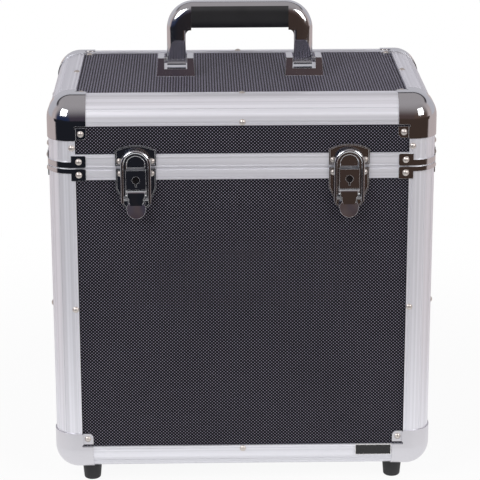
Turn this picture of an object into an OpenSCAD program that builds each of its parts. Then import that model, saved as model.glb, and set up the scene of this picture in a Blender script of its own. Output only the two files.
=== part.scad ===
// Record carrying case: laminate panels held in rounded aluminium edge rails,
// with capped corners, a hinged lid, two key-lock draw latches, a folding
// handle and rubber feet. Millimetres, +Z up, front towards -Y.
// The origin lies under the middle of the case, on the plane of its feet.

/* [Case] */
// Width across the side rails
case_w = 365; // [345:5:400]
// Depth from the front rail face to the rear rail face
case_d = 234; // [215:1:280]
// Height of the shell without its feet
case_h = 374; // [350:1:420]
// Height of the lid, from its seam to the top of the shell
lid_h = 66; // [62:1:89]
// Gap between the closed lid and the body
seam_gap = 0.3; // [0.2:0.1:0.6]

/* [Edge rails] */
// Outer radius of the rounded edge
edge_r = 22; // [18:1:23]
// Width of a rail on each face
rail_w = 26; // [25:1:28]
// Thickness of a rail flange, which is how far the panels lie back
rail_t = 2; // [1.6:0.1:2.4]
// Thickness of the inner lips and webs that hold the panels
lip_t = 1.2; // [1:0.1:1.5]
// Depth of the fine grooves that run along the rails
groove_d = 0.35; // [0.2:0.05:0.5]
// Distance of the edge groove from the free edge of a flange
groove_in = 2.4; // [2:0.1:3]

/* [Seam rims] */
// Height of the body rim
body_rim_h = 11.8; // [11:0.1:14]
// Height of the lid rim
lid_rim_h = 12.4; // [11:0.1:14]
// Height of the set-back step along the top of the body rim
rim_step_h = 2.4; // [1.5:0.1:3]
// Depth of the set-back step
rim_step_d = 0.9; // [0.5:0.1:1.2]
// Height of the tongue that locates the lid
tongue_h = 3.5; // [3:0.1:4]
// Thickness of the tongue
tongue_t = 1.4; // [1:0.1:1.8]
// Clearance on each side of the tongue
tongue_gap = 0.8; // [0.6:0.1:1]

/* [Panels and lining] */
// Thickness of a laminate panel
panel_t = 7; // [6:0.5:8]
// Clearance of a panel in its slot
slot_gap = 0.1; // [0.05:0.05:0.2]
// Thickness of the soft lining
lining_t = 2.5; // [2:0.5:4]

/* [Corner caps] */
// Length of a cap along the level edges
cap_l = 36.6; // [36:0.2:42]
// Length of a cap along the upright edge
cap_up = 39.8; // [39:0.2:46]
// Thickness of the cap sheet, which lies over the rails
cap_t = 1.1; // [0.8:0.1:1.4]
// Thickness of a riveted tab
tab_t = 1; // [0.8:0.1:1.2]
// Rounding of the free corner of a tab
tab_r = 4.5; // [3:0.5:5]
// Slot between a tab and the arm next to it
tab_slot = 2.2; // [1.5:0.1:2.5]

/* [Rivets] */
// Radius of a rivet head
rivet_r = 3.1; // [2.5:0.1:3.3]
// Height of a rivet head
rivet_h = 1.6; // [1.2:0.1:2]
// Radius of a rivet head on a latch
latch_rivet_r = 2.8; // [2.4:0.1:2.8]
// Radius of a rivet shank
shank_r = 1.5; // [1.2:0.1:1.6]
// Length of a rivet shank under its head
shank_l = 7; // [6:0.5:7]
// Clearance of a shank in its hole
shank_gap = 0.05; // [0.02:0.01:0.1]
// Distance of the rail rivets from the outer face of the case
rail_rivet_in = 22.9; // [22.5:0.1:23]

/* [Seam brackets] */
// Thickness of a bracket
brace_t = 1.1; // [0.8:0.1:1.5]
// Width of the riveted plate
brace_w = 13.3; // [12.5:0.1:15]
// Height of the riveted plate
brace_h = 11.6; // [10:0.1:11.8]
// Height of the band round the lid edge
lid_band_h = 5.6; // [4:0.1:7]
// Height of the band round the body edge
body_band_h = 4.4; // [3:0.1:7]
// How far the body bracket lies below the seam
brace_drop = 0.8; // [0.5:0.1:1.5]

/* [Feet] */
// Height of a foot below the shell
foot_h = 20; // [16:0.5:25]
// Radius of a foot at its top
foot_r = 9.8; // [9:0.1:11]
// Radius of a foot at its base
foot_base_r = 8.3; // [7.5:0.1:8.6]
// Rounding of the base edge
foot_round = 2.2; // [1:0.1:2.5]
// Distance of a foot from the outer faces of the case
foot_in = 33.4; // [33:0.1:34.4]
// Radius of the neck that seats the foot in its recess
foot_neck_r = 5.6; // [5:0.1:5.8]
// Radius of the foot screw
foot_screw_r = 2; // [1.5:0.1:2.2]
// Radius of the foot screw head
foot_head_r = 4; // [3.5:0.1:4.5]
// Depth of the screw recess in the foot
foot_recess = 9; // [6:0.5:11]

/* [Plain plate] */
// Width of the blank plate on the front
plate_w = 35.5; // [25:0.5:40]
// Height of the blank plate
plate_h = 11; // [8:0.5:12]
// Thickness of the blank plate
plate_t = 0.9; // [0.6:0.1:1.5]
// Width of the raised border of the plate
plate_edge = 0.9; // [0.6:0.1:1.5]
// Height of the raised border
plate_lip = 0.35; // [0.2:0.05:0.6]

/* [Handle] */
// Distance between the middles of the two handle legs
leg_span = 123.6; // [110:0.4:140]
// Width of a handle leg
leg_w = 18.3; // [16:0.1:19]
// Depth of a handle leg at its pivot
leg_d = 12; // [10:0.2:12.6]
// Height of the top of the grip above the shell
handle_top = 69.5; // [62:0.5:80]
// Height of the grip section
grip_h = 26; // [22:0.5:28]
// Depth of the grip section
grip_d = 24; // [20:0.5:26]
// Rounding of the grip section
grip_round = 9; // [6:0.5:9]
// Height of the bright strip that runs over the grip
strip_h = 3.6; // [3:0.1:4.5]
// Fillet where the leg meets the underside of the elbow
elbow_fillet = 5.5; // [4:0.5:7]
// How far the elbow overhangs the grip below
elbow_lip = 0.8; // [0.4:0.1:1.2]
// Height over which the leg widens towards the elbow
leg_taper = 21; // [16:1:23]
// Rounding of the inner edges of a leg
leg_round = 2.5; // [1:0.5:3]
// Radius of the steel core
core_r = 4; // [3:0.5:5]
// How far the core reaches into each elbow
core_in = 12; // [8:1:14]
// Height of the handle pivot above the shell
pivot_h = 12; // [11.8:0.1:12.4]
// Radius of the handle pivot pin
pivot_r = 2; // [1.6:0.1:2.2]

/* [Handle brackets] */
// Width of a bracket at its foot
bracket_w = 37.4; // [37:0.1:42]
// Width of a bracket at its top
bracket_top_w = 34.6; // [34:0.1:36]
// How far a bracket sits outside the middle of its leg
bracket_out = 0.8; // [0:0.1:1]
// Depth of a bracket at its foot
bracket_d = 30; // [28:0.5:36]
// Depth of a bracket at its top
bracket_top_d = 24; // [20:0.5:28]
// Height of a bracket
bracket_h = 15.4; // [14.5:0.1:18]
// Height of the low ledge between the ears
ledge_h = 5; // [4:0.1:5.2]
// Clearance between a leg and each ear
leg_gap = 1.9; // [1.4:0.1:2]
// Radius of a bracket screw
bracket_screw_r = 1.6; // [1.2:0.1:1.8]
// Height of a bracket screw head
bracket_head_h = 1.8; // [1.5:0.1:2.5]

/* [Latches] */
// Distance from a side of the case to the middle of a latch
latch_in = 82.5; // [72.5:2.5:102.5]
// Thickness of the latch plates
latch_t = 1.2; // [1:0.1:1.4]
// Height of the raised border of a latch plate
border_h = 1; // [0.6:0.1:1.2]
// Width of the raised border of a latch plate
border_w = 1.2; // [1:0.1:1.4]
// Width of the keeper plate on the lid
keeper_w = 38.5; // [37.5:0.5:40]
// Height of the keeper plate at its shoulders, from its lower edge
keeper_h = 14.9; // [14.5:0.1:17]
// Rise of the arched top of the keeper
keeper_rise = 5; // [3:0.1:5.5]
// Height of the keeper above the seam
keeper_up = 2.1; // [1.5:0.1:2.5]
// How far the keeper boss stands out from the rim
boss_out = 3; // [2.4:0.1:3.1]
// Width of the keeper boss
boss_w = 16.4; // [15:0.1:16.5]
// Width of the base plate on the body
base_w = 37.8; // [37.2:0.1:40]
// Length of the straight part of the base plate
base_straight = 18.9; // [18:0.1:22]
// Whole length of the base plate
base_l = 39.6; // [38.5:0.1:42]
// Width of the base plate at its lower end
base_end_w = 28; // [26:0.5:30]
// Rounding of the lower end of the base plate
base_round = 9; // [6:0.5:10]
// Width of the lock housing
lock_w = 18.9; // [18:0.1:19.6]
// Height of the lock housing
lock_h = 18.9; // [18:0.1:19]
// How far the lock housing stands out from the rim
lock_out = 8.4; // [8:0.1:8.8]
// Wall of the lock housing
lock_wall = 1.2; // [1:0.1:1.4]
// Radius of the lock barrel
barrel_r = 3.45; // [3:0.05:3.6]
// Running clearance round pins and barrels
run_gap = 0.05; // [0.03:0.01:0.08]

/* [Lever and bail] */
// Depth of the lever pivot below the seam
lever_z = 23.3; // [23.2:0.1:23.6]
// How far the lever pivot stands out from the rim
lever_out = 5.2; // [5.1:0.1:5.5]
// Radius of the lever barrel
lever_r = 3; // [2.6:0.1:3.1]
// Width of the lever at its barrel
lever_w = 16.2; // [15.5:0.1:17.4]
// Width of the lever neck
neck_w = 13.4; // [12.5:0.1:14.5]
// Distance from the lever pivot to the bail pivot
toggle_l = 6.3; // [6:0.1:6.8]
// Distance from the lever pivot to the crease of the finger tab
crease_l = 11.7; // [11.2:0.1:13]
// Length of the finger tab
finger_l = 12.4; // [11.5:0.1:14]
// Width of the finger tab
finger_w = 18; // [16:0.5:20]
// Outward lean of the finger tab in degrees
finger_lean = 13; // [5:1:18]
// Thickness of the lever sheet
lever_t = 1.3; // [1:0.1:1.5]
// Radius of the lever and bail pins
latch_pin_r = 1.2; // [1:0.05:1.3]
// Outer width of the bail
bail_w = 28.6; // [28.2:0.1:29.4]
// Width of the opening in the arch of the bail
bail_eye_w = 16.9; // [16.7:0.1:18]
// Height of the top of the bail above the seam
bail_top = 18.2; // [17:0.1:19]
// Thickness of the bail legs, side to side
bail_leg_t = 3.1; // [2.8:0.1:3.3]
// Depth of the bail, front to back
bail_d = 4.6; // [4:0.1:5]
// Depth of the lower ring inside the arch
bail_ring_d = 3.4; // [2.8:0.1:3.6]
// Clearance between the bail and the keeper boss
bail_gap = 0.4; // [0.3:0.1:0.6]

/* [Rear hinges] */
// Distance from a side of the case to the middle of a hinge
hinge_in = 82.5; // [72.5:2.5:112.5]
// Length of a hinge
hinge_l = 44; // [36:1:55]
// Height of each hinge leaf
leaf_h = 25; // [22:1:28]
// Thickness of a hinge leaf
leaf_t = 1.5; // [1.2:0.1:2]
// Outer radius of a hinge knuckle
knuckle_r = 4.2; // [3.8:0.1:4.8]
// Radius of a hinge pin
hinge_pin_r = 1.8; // [1.5:0.1:2]
// Clearance between two knuckles
knuckle_gap = 0.3; // [0.2:0.1:0.5]

/* [Hidden] */
$fn = 48;

// Colours as the object shows them
alu = [0.80, 0.80, 0.82];
chrome = [0.72, 0.73, 0.76];
laminate = [0.16, 0.16, 0.17];
velvet = [0.08, 0.08, 0.09];
rubber = [0.10, 0.10, 0.11];
grip_black = [0.20, 0.20, 0.21];
steel = [0.60, 0.61, 0.63];

// Small overlap between the pieces of one solid
eps = 0.01;

// Case: distances are taken inwards from its outer faces
half_w = case_w / 2;
half_d = case_d / 2;
panel_back = rail_t + panel_t;                  // inner face of a panel
lip_in = panel_back + slot_gap;                 // outer face of an inner lip
lining_in = lip_in + lip_t;                     // outer face of the lining
bay_in = lining_in + lining_t;                  // inner face of the lining
panel_edge = edge_r + slot_gap;                 // edge of a panel in its slot
seam_z = case_h - lid_h;                        // top of the body, where the lid lies
lid_z = seam_z + seam_gap;                      // lower edge of the lid

// Rims and panels
groove_room = tongue_h + 0.8;                   // height of the tongue groove
tongue_in = rail_t + 1.7 + tongue_gap;          // outer face of the tongue
lid_web_z = groove_room + lip_t;                // top of the web in the lid rim
body_panel_top = seam_z - lip_t - slot_gap;
lid_panel_low = lid_z + lid_web_z + slot_gap;
lid_panel_top = case_h - panel_edge;

// Corner caps
rail_stop = rail_w + 0.4;                       // rail end under a cap
tab_foot = rail_w + tab_slot;                   // edge of a tab at its slot
tab_top = cap_up - 0.6;                         // free end of an upright tab
tab_rivet_a = (rail_w + cap_l) / 2;             // rivet place across a tab
tab_rivet_b = (tab_foot + tab_top) / 2;         // rivet place up an upright tab
tab_rivet_c = (tab_foot + cap_l) / 2;           // rivet place along a level tab
foot_screw_reach = panel_back - 1.5;            // tip of a foot screw in the panel

// Latches: heights are taken from the seam, depths from the rail face
latch_x = half_w - latch_in;
base_up = 0.5;                                  // top of the base plate below the seam
base_rivet_x = base_w / 2 - border_w - latch_rivet_r - 0.1;
base_rivet_z = base_up + border_w + latch_rivet_r + 0.9;
keeper_rivet_x = keeper_w / 2 - border_w - latch_rivet_r - 0.1;
keeper_rivet_z = keeper_up + border_w + latch_rivet_r + 0.5;
keeper_top_r = (pow(keeper_w / 2, 2) + pow(keeper_rise, 2)) / (2 * keeper_rise);
lock_z = base_up + 0.2 + lock_h / 2;            // lock barrel below the seam
lock_front = lock_out - lock_wall;              // back of the housing's front wall
key_w = 1.3;                                    // width of the key slot
key_reach = 6.4;                                // reach of the key slot below the barrel
ear_t = 1.4;                                    // thickness of a lever ear
ear_in = lever_w / 2 + 0.3;                     // inner face of a lever ear
ear_r = lever_r + 0.3;                          // round end of a lever ear
bail_r = bail_w / 2;
bail_back = boss_out + bail_gap;                // back of the bail
bail_z = lever_z + toggle_l;                    // bail pivot below the seam
bail_out = bail_back + bail_d / 2;              // bail pivot in front of the rail face
bail_shift = lever_out - bail_out;              // bail pivot behind the lever pivot
bail_arc_z = bail_top - bail_r;                 // middle of the arch above the seam
bail_leg_low = bail_z + latch_pin_r + 1.9;      // lower end of the legs below the seam
finger_out = lever_out + lever_r + finger_l * sin(finger_lean); // foremost point of a latch

// Rear hinges: the axis lies behind the rear face, at the height of the seam
hinge_x = half_w - hinge_in;
hinge_out = knuckle_r + 0.5;
knuckle_l = hinge_l / 3;
knuckle_room = 0.6;
leaf_clear = knuckle_r + knuckle_room;          // room round the other leaf's knuckles
leaf_low = 0.5;                                 // edge of a leaf at the seam
leaf_rim = lid_rim_h + seam_gap;                // part of a leaf that lies on a rim
leaf_edge = 3;                                  // from a rivet's head to the leaf's edge
leaf_rivet_x = hinge_l / 2 - rivet_r - leaf_edge;
leaf_rivet_z = leaf_h - rivet_r - leaf_edge;

// Handle
leg_x = leg_span / 2;
leg_out = leg_x + leg_w / 2;                    // outer face of a leg
leg_in = leg_x - leg_w / 2;                     // inner face of a leg
leg_end_r = leg_d / 2;                          // round end of a leg
pivot_z = case_h + pivot_h;
grip_z = case_h + handle_top - grip_h / 2;      // middle of the grip
elbow_r = grip_h + elbow_lip;                   // outer radius of the elbow
elbow_z = case_h + handle_top - elbow_r;        // underside of the elbow
strip_half = leg_out - elbow_r;                 // half length of the straight strip
grip_reach = 3;                                 // from there to the end of the grip
grip_half = strip_half + grip_reach;            // half length of the grip
strip_z = case_h + handle_top - strip_h;        // underside of the strip
bracket_x = leg_x + bracket_out;
screw_x = (bracket_top_w + leg_w) / 4 + leg_gap / 2;
screw_y = bracket_top_d / 2 - 4.5;
screw_bite = pivot_h - pivot_r - 2;             // reach of a screw into its bracket

// The case stands over the origin between its foremost and rearmost points
case_y = (finger_out - hinge_out - knuckle_r) / 2;

// ---------- Frames of reference ----------

// The shell, with its underside at zero, set on its feet
module in_case() {
    translate([0, case_y, foot_h]) children();
}

// A latch: seam level at zero, the front rail face at y = 0
module at_latch(side) {
    in_case() translate([side * latch_x, -half_d, seam_z]) children();
}

// Extrudes a front-view outline from y = y0 to y = y1
module front_plate(y0, y1) {
    translate([0, y1, 0]) rotate([90, 0, 0]) linear_extrude(y1 - y0) children();
}

// Four upright edges: outer edge at the origin, inside towards +X +Y
module at_upright_edges() {
    for (sx = [0, 1], sy = [0, 1])
        mirror([sx, 0, 0]) mirror([0, sy, 0]) translate([-half_w, -half_d, 0]) children();
}

// ---------- Rivets ----------

// A domed rivet: the head stands on z = 0, the shank goes down
module rivet(deep, head) {
    dome_r = (pow(head, 2) + pow(rivet_h, 2)) / (2 * rivet_h);
    intersection() {
        translate([0, 0, rivet_h - dome_r]) sphere(dome_r);
        cylinder(r = head, h = rivet_h);
    }
    translate([0, 0, -deep]) cylinder(r = shank_r, h = deep + eps);
}

// The hole that a rivet shank passes through
module rivet_hole(deep) {
    translate([0, 0, -deep - 0.2]) cylinder(r = shank_r + shank_gap, h = deep + 2.2 + rivet_h);
}

// Turns +Z to face outwards at the front, the side or the underside
module face_front() { rotate([90, 0, 0]) children(); }
module face_side() { rotate([0, -90, 0]) children(); }
module face_under() { rotate([180, 0, 0]) children(); }

// One rivet or its hole, by name
module rivet_form(hole, deep = shank_l, head = rivet_r) {
    if (hole) rivet_hole(deep);
    else rivet(deep, head);
}

// Rivets at the middle of each body rail
module body_rail_rivets(hole) {
    post_mid = (cap_up + seam_z - brace_drop - brace_h) / 2;
    for (sx = [-1, 1]) {
        // front and rear faces of the posts
        for (sy = [-1, 1])
            translate([sx * (half_w - rail_rivet_in), sy * half_d, post_mid])
                mirror([0, sy > 0 ? 1 : 0, 0]) face_front() rivet_form(hole);
        // side faces of the posts
        for (sy = [-1, 1])
            translate([sx * half_w, sy * (half_d - rail_rivet_in), post_mid])
                mirror([sx > 0 ? 1 : 0, 0, 0]) face_side() rivet_form(hole);
        // side faces of the bottom rails
        translate([sx * half_w, 0, rail_rivet_in])
            mirror([sx > 0 ? 1 : 0, 0, 0]) face_side() rivet_form(hole);
    }
    for (sy = [-1, 1])
        translate([0, sy * half_d, rail_rivet_in])
            mirror([0, sy > 0 ? 1 : 0, 0]) face_front() rivet_form(hole);
}

// Rivets at the middle of each lid rail
module lid_rail_rivets(hole) {
    post_mid = (lid_z + brace_h + case_h - cap_up) / 2;
    for (sx = [-1, 1]) {
        for (sy = [-1, 1]) {
            translate([sx * (half_w - rail_rivet_in), sy * half_d, post_mid])
                mirror([0, sy > 0 ? 1 : 0, 0]) face_front() rivet_form(hole);
            translate([sx * half_w, sy * (half_d - rail_rivet_in), post_mid])
                mirror([sx > 0 ? 1 : 0, 0, 0]) face_side() rivet_form(hole);
        }
        translate([sx * half_w, 0, case_h - rail_rivet_in])
            mirror([sx > 0 ? 1 : 0, 0, 0]) face_side() rivet_form(hole);
        translate([sx * (half_w - rail_rivet_in), 0, case_h]) rivet_form(hole);
    }
    for (sy = [-1, 1]) {
        translate([0, sy * half_d, case_h - rail_rivet_in])
            mirror([0, sy > 0 ? 1 : 0, 0]) face_front() rivet_form(hole);
        translate([0, sy * (half_d - rail_rivet_in), case_h]) rivet_form(hole);
    }
}

// Rivets of one corner cap: outer corner at the origin, arms along +X +Y +Z
module cap_rivets(hole, with_base) {
    sunk = rail_t - tab_t;
    translate([tab_rivet_a, sunk, tab_rivet_b]) face_front() rivet_form(hole, shank_l - 1);
    translate([sunk, tab_rivet_a, tab_rivet_b]) face_side() rivet_form(hole, shank_l - 1);
    if (with_base)
        translate([tab_rivet_a, tab_rivet_c, sunk]) face_under() rivet_form(hole, shank_l - 1);
}

// Rivets of one seam bracket at an upright edge, at height z
module brace_rivets(hole, z) {
    across = edge_r + brace_w + 0.5 - brace_w / 2;
    translate([across, -brace_t, z]) face_front() rivet_form(hole);
    translate([-brace_t, across, z]) face_side() rivet_form(hole);
}

// Every rivet of the body shell, or the holes for them
module body_rivet_set(hole) {
    body_rail_rivets(hole);
    at_upright_edges() {
        cap_rivets(hole, false);
        brace_rivets(hole, seam_z - brace_drop - brace_h / 2);
    }
    for (side = [-1, 1]) {
        for (sx = [-1, 1])
            translate([side * latch_x + sx * base_rivet_x, -half_d - latch_t, seam_z - base_rivet_z])
                face_front() rivet_form(hole, shank_l + 1, latch_rivet_r);
        for (sx = [-1, 1])
            translate([side * hinge_x + sx * leaf_rivet_x, half_d + leaf_t, seam_z - leaf_rivet_z])
                mirror([0, 1, 0]) face_front() rivet_form(hole, shank_l + 1);
    }
}

// Every rivet of the lid shell, or the holes for them
module lid_rivet_set(hole) {
    lid_rail_rivets(hole);
    translate([0, 0, case_h]) mirror([0, 0, 1]) at_upright_edges() cap_rivets(hole, true);
    at_upright_edges() brace_rivets(hole, lid_z + brace_h / 2);
    for (side = [-1, 1]) {
        for (sx = [-1, 1])
            translate([side * latch_x + sx * keeper_rivet_x, -half_d - latch_t, seam_z + keeper_rivet_z])
                face_front() rivet_form(hole, shank_l + 1, latch_rivet_r);
        for (sx = [-1, 1])
            translate([side * hinge_x + sx * leaf_rivet_x, half_d + leaf_t, seam_z + leaf_rivet_z])
                mirror([0, 1, 0]) face_front() rivet_form(hole, shank_l + 1);
    }
}

module body_rivets() { color(chrome) in_case() body_rivet_set(false); }
module lid_rivets() { color(chrome) in_case() lid_rivet_set(false); }

// ---------- Edge rails ----------

// Section of a rail: outer corner at the origin, inside towards +X +Y
module rail_section() {
    groove_angle = 31;
    difference() {
        union() {
            difference() {
                intersection() {
                    translate([edge_r, edge_r]) circle(edge_r);
                    square(edge_r);
                }
                translate([edge_r, edge_r]) circle(edge_r - rail_t);
            }
            half_rail_section();
            mirror([1, -1]) half_rail_section();
        }
        // fine grooves along the round and the flanges
        for (a = [groove_angle, 90 - groove_angle])
            translate([edge_r - edge_r * cos(a), edge_r - edge_r * sin(a)]) circle(groove_d);
        translate([rail_w - groove_in, 0]) circle(groove_d);
        translate([0, rail_w - groove_in]) circle(groove_d);
    }
}

// Flange, web and inner lip on one side of the rail section
module half_rail_section() {
    translate([edge_r, 0]) square([rail_w - edge_r, rail_t]);
    translate([edge_r - lip_t, rail_t / 2]) square([lip_t, lip_in + lip_t - rail_t / 2]);
    translate([lip_in, lip_in]) square([rail_w - lip_in, lip_t]);
}

// A rail along X on a lower edge: the section's own X is up, its Y is inwards
module rail_along_x(len) {
    translate([-len / 2, 0, 0]) rotate([90, 0, 90]) linear_extrude(len)
        mirror([1, -1]) rail_section();
}

// A rail along Y on a lower edge, inside towards +X
module rail_along_y(len) {
    translate([0, len / 2, 0]) rotate([90, 0, 0]) linear_extrude(len) rail_section();
}

// The four rails round the underside of the shell
module base_rails() {
    for (m = [0, 1]) {
        mirror([0, m, 0]) translate([0, -half_d, 0]) rail_along_x(case_w - 2 * rail_stop);
        mirror([m, 0, 0]) translate([-half_w, 0, 0]) rail_along_y(case_d - 2 * rail_stop);
    }
}

module bottom_edge_rails() {
    color(alu) in_case() difference() {
        base_rails();
        body_rivet_set(true);
    }
}

module top_edge_rails() {
    color(alu) in_case() difference() {
        translate([0, 0, case_h]) mirror([0, 0, 1]) base_rails();
        lid_rivet_set(true);
    }
}

module body_corner_posts() {
    color(alu) in_case() difference() {
        at_upright_edges() translate([0, 0, rail_stop])
            linear_extrude(seam_z - rail_stop) rail_section();
        body_rivet_set(true);
    }
}

module lid_corner_posts() {
    color(alu) in_case() difference() {
        at_upright_edges() translate([0, 0, lid_z])
            linear_extrude(case_h - rail_stop - lid_z) rail_section();
        lid_rivet_set(true);
    }
}

// ---------- Seam rims ----------

// Body rim section: X inwards from the outer face, Y up, seam at zero
module body_rim_section() {
    difference() {
        union() {
            translate([0, -body_rim_h]) square([rail_t, body_rim_h - rim_step_h]);
            translate([rim_step_d, -rim_step_h - eps]) square([rail_t - rim_step_d, rim_step_h + eps]);
            translate([rim_step_d, -lip_t]) square([lining_in - rim_step_d, lip_t]);
            translate([lip_in, -body_rim_h]) square([lip_t, body_rim_h]);
            translate([tongue_in, -lip_t]) square([tongue_t, lip_t + tongue_h]);
        }
        translate([0, -body_rim_h + groove_in - 0.6]) circle(groove_d);
    }
}

// Lid rim section: X inwards from the outer face, Y up from the lid's lower edge
module lid_rim_section() {
    groove_top = 0.4;                           // how far the grooves lie from the edges
    groove_low = 1.4;
    difference() {
        square([lining_in, lid_rim_h]);
        // groove over the tongue
        translate([tongue_in - tongue_gap, -1]) square([tongue_t + 2 * tongue_gap, 1 + groove_room]);
        // slot for the panel
        translate([rail_t, lid_web_z]) square([panel_t + slot_gap, lid_rim_h]);
        translate([0, lid_rim_h - groove_in + groove_top]) circle(groove_d);
        translate([0, groove_low]) circle(groove_d);
    }
}

// A rim of the given section, from post to post on all four sides
module rim_frame() {
    for (m = [0, 1]) {
        mirror([0, m, 0]) translate([-half_w + rail_w, -half_d, 0])
            rotate([90, 0, 90]) linear_extrude(case_w - 2 * rail_w) children();
        mirror([m, 0, 0]) translate([-half_w, half_d - rail_w, 0])
            rotate([90, 0, 0]) linear_extrude(case_d - 2 * rail_w) children();
    }
}

module body_rim() {
    color(alu) in_case() difference() {
        translate([0, 0, seam_z]) rim_frame() body_rim_section();
        body_rivet_set(true);
    }
}

module lid_rim() {
    color(alu) in_case() difference() {
        translate([0, 0, lid_z]) rim_frame() lid_rim_section();
        lid_rivet_set(true);
    }
}

// ---------- Panels ----------

// An upright panel on the front, from z0 to z1
module front_board(z0, z1) {
    translate([-half_w + panel_edge, -half_d + rail_t, z0])
        cube([case_w - 2 * panel_edge, panel_t, z1 - z0]);
}

// An upright panel on the left side, from z0 to z1
module side_board(z0, z1) {
    translate([-half_w + rail_t, -half_d + panel_edge, z0])
        cube([panel_t, case_d - 2 * panel_edge, z1 - z0]);
}

// A flat panel on the underside
module base_board() {
    translate([-half_w + panel_edge, -half_d + panel_edge, rail_t])
        cube([case_w - 2 * panel_edge, case_d - 2 * panel_edge, panel_t]);
}

module body_board() {
    color(laminate) in_case() difference() {
        children();
        body_rivet_set(true);
    }
}

module lid_board() {
    color(laminate) in_case() difference() {
        children();
        lid_rivet_set(true);
    }
}

module front_panel() { body_board() front_board(panel_edge, body_panel_top); }
module rear_panel() { body_board() mirror([0, 1, 0]) front_board(panel_edge, body_panel_top); }
module left_panel() { body_board() side_board(panel_edge, body_panel_top); }
module right_panel() { body_board() mirror([1, 0, 0]) side_board(panel_edge, body_panel_top); }

module bottom_panel() {
    body_board() difference() {
        base_board();
        foot_places() translate([0, 0, -1]) cylinder(r = foot_screw_r + shank_gap, h = foot_screw_reach + 1.2);
    }
}

module lid_front_panel() { lid_board() front_board(lid_panel_low, lid_panel_top); }
module lid_rear_panel() { lid_board() mirror([0, 1, 0]) front_board(lid_panel_low, lid_panel_top); }
module lid_left_panel() { lid_board() side_board(lid_panel_low, lid_panel_top); }
module lid_right_panel() { lid_board() mirror([1, 0, 0]) side_board(lid_panel_low, lid_panel_top); }

module lid_top_panel() {
    lid_board() difference() {
        translate([0, 0, case_h]) mirror([0, 0, 1]) base_board();
        bracket_screw_places() translate([0, 0, -panel_back - 1])
            cylinder(r = bracket_screw_r + shank_gap, h = panel_back + 2);
    }
}

// ---------- Lining ----------

// A soft liner: an open box that fits inside the rails
module liner(z0, z1) {
    difference() {
        translate([-half_w + lining_in, -half_d + lining_in, z0])
            cube([case_w - 2 * lining_in, case_d - 2 * lining_in, z1 - z0]);
        translate([-half_w + bay_in, -half_d + bay_in, z0 + lining_t])
            cube([case_w - 2 * bay_in, case_d - 2 * bay_in, z1]);
    }
}

module body_lining() {
    color(velvet) in_case() liner(lining_in, seam_z - 0.5);
}

module lid_lining() {
    color(velvet) in_case() difference() {
        translate([0, 0, case_h]) mirror([0, 0, 1]) liner(lining_in, case_h - lid_z - 0.5);
        bracket_screw_places() translate([0, 0, -bay_in - 1]) cylinder(r = bracket_screw_r + 3.2, h = bay_in);
    }
}

// ---------- Corner caps ----------

// Section of a cap arm: a skin over the rail
module cap_section() {
    difference() {
        intersection() {
            translate([edge_r, edge_r]) circle(edge_r + cap_t);
            translate([-cap_t, -cap_t]) square(edge_r + cap_t);
        }
        translate([edge_r, edge_r]) circle(edge_r);
    }
    translate([edge_r, -cap_t]) square([rail_w - edge_r, cap_t]);
    translate([-cap_t, edge_r]) square([cap_t, rail_w - edge_r]);
}

// A tab outline from the rail edge to x = cap_l, free corner rounded
module tab_outline(top) {
    translate([rail_w, tab_foot]) square([cap_l - tab_r - rail_w, top - tab_foot]);
    translate([rail_w, tab_foot]) square([cap_l - rail_w, top - tab_r - tab_foot]);
    translate([cap_l - tab_r, top - tab_r]) circle(tab_r);
}

// A tab with the bend that joins it to its arm; it lies on z = rail_t
module cap_tab(top) {
    translate([0, 0, rail_t - tab_t]) linear_extrude(tab_t) tab_outline(top);
    translate([rail_w, tab_foot, -cap_t]) cube([tab_t, top - tab_foot, cap_t + rail_t]);
}

// A cap: outer corner at the origin, arms along +X, +Y and +Z
module corner_cap(with_foot_hole) {
    difference() {
        union() {
            // the rounded ball
            translate([edge_r, edge_r, edge_r]) rotate([0, 0, 180]) rotate_extrude(angle = 90)
                difference() {
                    circle(edge_r + cap_t);
                    circle(edge_r);
                    translate([-2 * edge_r, -2 * edge_r]) square([2 * edge_r, 4 * edge_r]);
                    translate([-1, 0]) square([2 * edge_r, 2 * edge_r]);
                }
            // the three arms
            translate([0, 0, edge_r]) linear_extrude(cap_up - edge_r) cap_section();
            translate([edge_r, 0, 0]) rotate([90, 0, 90]) linear_extrude(cap_l - edge_r) cap_section();
            translate([0, cap_l, 0]) rotate([90, 0, 0]) linear_extrude(cap_l - edge_r) cap_section();
            // the riveted tabs on the front, side and level faces
            multmatrix([[1, 0, 0, 0], [0, 0, 1, 0], [0, 1, 0, 0]]) cap_tab(tab_top);
            multmatrix([[0, 0, 1, 0], [1, 0, 0, 0], [0, 1, 0, 0]]) cap_tab(tab_top);
            cap_tab(cap_l);
        }
        cap_rivets(true, !with_foot_hole);
        if (with_foot_hole)
            translate([foot_in, foot_in, -1]) cylinder(r = foot_screw_r + shank_gap, h = rail_t + 2);
    }
}

module bottom_corner_caps() {
    color(chrome) in_case() at_upright_edges() corner_cap(true);
}

module top_corner_caps() {
    color(chrome) in_case() translate([0, 0, case_h]) mirror([0, 0, 1])
        at_upright_edges() corner_cap(false);
}

// ---------- Seam brackets ----------

// A plate outline from the joined edge outwards, with rounded corners
module brace_outline(h) {
    round_r = 1.6;
    to = edge_r + brace_w + 0.5;
    translate([edge_r, 0]) square([to - edge_r - round_r, h]);
    translate([edge_r, round_r]) square([to - edge_r, h - 2 * round_r]);
    for (z = [round_r, h - round_r]) translate([to - round_r, z]) circle(round_r);
}

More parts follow.
